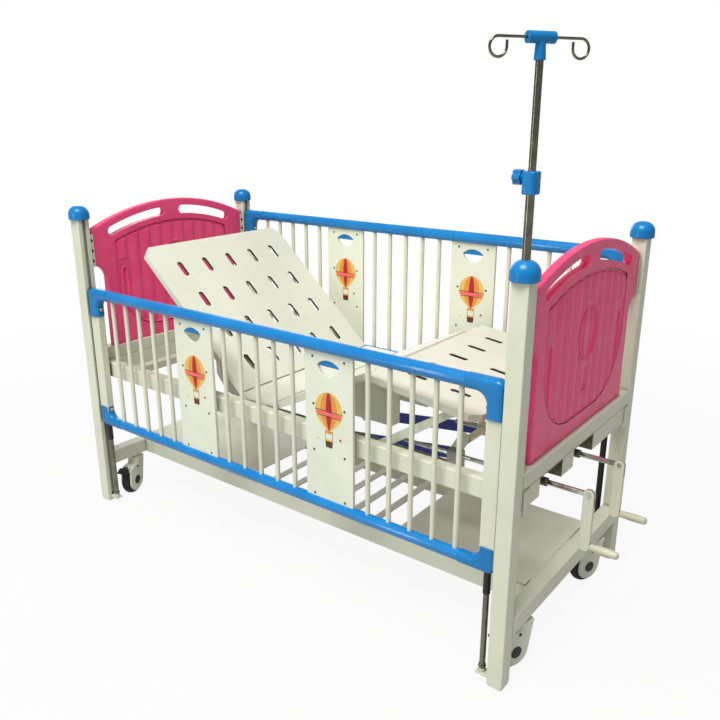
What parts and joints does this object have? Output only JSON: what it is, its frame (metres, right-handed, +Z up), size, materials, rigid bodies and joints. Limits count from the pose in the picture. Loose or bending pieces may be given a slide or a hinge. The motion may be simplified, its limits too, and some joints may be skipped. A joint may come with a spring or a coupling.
{
  "type": "pediatric hospital cot",
  "caption": "Hospital cot with sliding side rails, a jointed deck raised by cranks, curved end boards, an open shelf, casters and a telescopic infusion pole.",
  "frame": {"origin": "on the floor, midway between the four corner posts", "axes": "+X from the head end to the foot end with the cranks, +Y to the patient's left, +Z up"},
  "size_m": [2.1725, 1.0248, 1.7825],
  "materials": {
    "cream_paint": "satin powder coat",
    "cream_plastic": "semi-gloss",
    "blue_plastic": "gloss",
    "blue_paint": "gloss",
    "pink_board": "satin",
    "black_plastic": "matt",
    "black_paint": "satin",
    "polished_chrome": "polished",
    "bright_steel": "zinc plated",
    "navy_paint": "satin",
    "black_rubber": "matt"
  },
  "bodies": {
    "frame": {"posts": "cream_paint", "post_plugs": "black_plastic", "post_caps": "blue_plastic", "upper_crossbeams": "cream_paint", "deck_frame": "cream_paint", "lower_frame": "cream_paint", "shelf": "cream_paint", "footboard": "pink_board", "headboard": "pink_board", "board_brackets": "cream_paint", "guide_rods_right": "polished_chrome", "guide_cylinders_left": "black_paint", "guide_brackets": "cream_paint", "seat_section": "cream_paint", "deck_cross_members": "cream_paint", "crank_brackets": "cream_paint", "caster_stems": "bright_steel", "pole_lower": "polished_chrome", "pole_clamp": "blue_plastic"},
    "back": {"back_section": "cream_paint"},
    "back_drive": {"back_drive": "bright_steel"},
    "thigh": {"thigh_section": "cream_paint"},
    "foot": {"foot_section": "cream_paint"},
    "stays": {"foot_stays": "cream_paint"},
    "knee_drive": {"knee_bars": "navy_paint", "knee_crosshead": "bright_steel"},
    "pole_upper": {"pole_upper": "polished_chrome", "pole_head": "blue_plastic", "pole_hook": "polished_chrome"},
    "knob": {"pole_knob": "blue_plastic"},
    "rail_right": {"rail_right_bars": "cream_paint", "rail_right_tubes": "blue_paint", "rail_right_mouldings": "blue_plastic", "rail_right_panels": "cream_plastic", "rail_right_slide_blocks": "black_plastic", "rail_right_guides": "black_paint"},
    "rail_left": {"rail_left_bars": "cream_paint", "rail_left_tubes": "blue_paint", "rail_left_mouldings": "blue_plastic", "rail_left_panels": "cream_plastic", "rail_left_slide_blocks": "black_plastic", "rail_left_guides": "polished_chrome"},
    "crank_back": {"crank_shaft_back": "polished_chrome"},
    "crank_arm_back": {"crank_arm_back": "cream_paint"},
    "crank_grip_back": {"crank_grip_back": "cream_plastic"},
    "crank_knee": {"crank_shaft_knee": "polished_chrome"},
    "crank_arm_knee": {"crank_arm_knee": "cream_paint"},
    "crank_grip_knee": {"crank_grip_knee": "cream_plastic"},
    "caster_head_right": {"caster_hood_head_right": "cream_plastic"},
    "wheel_head_right": {"caster_wheel_head_right": "black_rubber"},
    "pedal_head_right": {"caster_pedal_head_right": "black_plastic"},
    "caster_head_left": {"caster_hood_head_left": "cream_plastic"},
    "wheel_head_left": {"caster_wheel_head_left": "black_rubber"},
    "pedal_head_left": {"caster_pedal_head_left": "black_plastic"},
    "caster_foot_right": {"caster_hood_foot_right": "cream_plastic"},
    "wheel_foot_right": {"caster_wheel_foot_right": "black_rubber"},
    "pedal_foot_right": {"caster_pedal_foot_right": "black_plastic"},
    "caster_foot_left": {"caster_hood_foot_left": "cream_plastic"},
    "wheel_foot_left": {"caster_wheel_foot_left": "black_rubber"},
    "pedal_foot_left": {"caster_pedal_foot_left": "black_plastic"}
  },
  "joints": [
    {"name": "rail_right_slide", "type": "slide", "parent": "frame", "child": "rail_right", "axis": [0, 0, 1], "range_m": [0, 0.225]},
    {"name": "rail_left_slide", "type": "slide", "parent": "frame", "child": "rail_left", "axis": [0, 0, 1], "range_m": [-0.225, 0]},
    {"name": "back_hinge", "type": "hinge", "parent": "frame", "child": "back", "pos_m": [-0.152, 0, 0.65], "axis": [0, 1, 0], "range_deg": [-42, 28]},
    {"name": "thigh_hinge", "type": "hinge", "parent": "frame", "child": "thigh", "pos_m": [0.016, 0, 0.65], "axis": [0, -1, 0], "range_deg": [-26, 14]},
    {"name": "foot_hinge", "type": "hinge", "parent": "thigh", "child": "foot", "pos_m": [0.39709, 0, 0.83587], "axis": [0, -1, 0], "range_deg": [-18.2, 33.6]},
    {"name": "stay_hinge", "type": "hinge", "parent": "foot", "child": "stays", "pos_m": [0.69137, 0, 0.77244], "axis": [0, -1, 0], "range_deg": [-38.2, 20.8]},
    {"name": "back_drive_slide", "type": "slide", "parent": "frame", "child": "back_drive", "axis": [-1, 0, 0], "range_m": [-0.0735, 0.0492]},
    {"name": "knee_drive_slide", "type": "slide", "parent": "frame", "child": "knee_drive", "axis": [1, 0, 0], "range_m": [-0.0862, 0.0466]},
    {"name": "crank_back_turn", "type": "hinge", "parent": "frame", "child": "crank_back", "pos_m": [1, -0.245, 0.598], "axis": [-1, 0, 0], "range_deg": [-1098.5, 733]},
    {"name": "crank_back_fold", "type": "hinge", "parent": "crank_back", "child": "crank_arm_back", "pos_m": [1.0915, -0.245, 0.598], "axis": [0, 1, 0], "range_deg": [0, 48]},
    {"name": "crank_back_grip_spin", "type": "hinge", "parent": "crank_arm_back", "child": "crank_grip_back", "pos_m": [1.15, -0.245, 0.438], "axis": [1, 0, 0], "continuous": true},
    {"name": "crank_knee_turn", "type": "hinge", "parent": "frame", "child": "crank_knee", "pos_m": [1, -0.005, 0.598], "axis": [-1, 0, 0], "range_deg": [-1287.5, 694.2]},
    {"name": "crank_knee_fold", "type": "hinge", "parent": "crank_knee", "child": "crank_arm_knee", "pos_m": [1.0915, -0.005, 0.598], "axis": [0, 1, 0], "range_deg": [0, 48]},
    {"name": "crank_knee_grip_spin", "type": "hinge", "parent": "crank_arm_knee", "child": "crank_grip_knee", "pos_m": [1.15, -0.005, 0.438], "axis": [1, 0, 0], "continuous": true},
    {"name": "swivel_head_right", "type": "hinge", "parent": "frame", "child": "caster_head_right", "pos_m": [-0.943, -0.288, 0.15], "axis": [0, 0, 1], "continuous": true},
    {"name": "wheel_head_right_spin", "type": "hinge", "parent": "caster_head_right", "child": "wheel_head_right", "pos_m": [-0.92759, -0.32814, 0.0625], "axis": [0.9336, 0.3584, 0], "continuous": true},
    {"name": "brake_head_right", "type": "hinge", "parent": "caster_head_right", "child": "pedal_head_right", "pos_m": [-0.91408, -0.36334, 0.1278], "axis": [0.9336, 0.3584, 0], "range_deg": [0, 14]},
    {"name": "swivel_head_left", "type": "hinge", "parent": "frame", "child": "caster_head_left", "pos_m": [-0.943, 0.288, 0.15], "axis": [0, 0, 1], "continuous": true},
    {"name": "wheel_head_left_spin", "type": "hinge", "parent": "caster_head_left", "child": "wheel_head_left", "pos_m": [-0.93553, 0.24565, 0.0625], "axis": [0.9848, 0.1736, 0], "continuous": true},
    {"name": "brake_head_left", "type": "hinge", "parent": "caster_head_left", "child": "pedal_head_left", "pos_m": [-0.92899, 0.20853, 0.1278], "axis": [0.9848, 0.1736, 0], "range_deg": [0, 14]},
    {"name": "swivel_foot_right", "type": "hinge", "parent": "frame", "child": "caster_foot_right", "pos_m": [0.943, -0.288, 0.15], "axis": [0, 0, 1], "continuous": true},
    {"name": "wheel_foot_right_spin", "type": "hinge", "parent": "caster_foot_right", "child": "wheel_foot_right", "pos_m": [0.92654, -0.32773, 0.0625], "axis": [0.9239, -0.3827, 0], "continuous": true},
    {"name": "brake_foot_right", "type": "hinge", "parent": "caster_foot_right", "child": "pedal_foot_right", "pos_m": [0.91212, -0.36256, 0.1278], "axis": [0.9239, -0.3827, 0], "range_deg": [0, 14]},
    {"name": "swivel_foot_left", "type": "hinge", "parent": "frame", "child": "caster_foot_left", "pos_m": [0.943, 0.288, 0.15], "axis": [0, 0, 1], "continuous": true},
    {"name": "wheel_foot_left_spin", "type": "hinge", "parent": "caster_foot_left", "child": "wheel_foot_left", "pos_m": [0.92654, 0.24827, 0.0625], "axis": [0.9239, -0.3827, 0], "continuous": true},
    {"name": "brake_foot_left", "type": "hinge", "parent": "caster_foot_left", "child": "pedal_foot_left", "pos_m": [0.91212, 0.21344, 0.1278], "axis": [0.9239, -0.3827, 0], "range_deg": [0, 14]},
    {"name": "pole_slide", "type": "slide", "parent": "frame", "child": "pole_upper", "axis": [0, 0, 1], "range_m": [-0.23, 0.15]},
    {"name": "knob_turn", "type": "hinge", "parent": "frame", "child": "knob", "pos_m": [0.92, -0.437, 1.463], "axis": [-1, 0, 0], "range_deg": [0, 720]}
  ],
  "couplings": [
    {"joint": "foot_hinge", "follows": "thigh_hinge", "ratio": -1.2846},
    {"joint": "stay_hinge", "follows": "thigh_hinge", "ratio": 1.46},
    {"joint": "knee_drive_slide", "follows": "thigh_hinge", "m_per_rad": 0.18886},
    {"joint": "crank_knee_turn", "follows": "thigh_hinge", "ratio": 49.442},
    {"joint": "back_drive_slide", "follows": "back_hinge", "m_per_rad": 0.09972},
    {"joint": "crank_back_turn", "follows": "back_hinge", "ratio": 26.107}
  ]
}
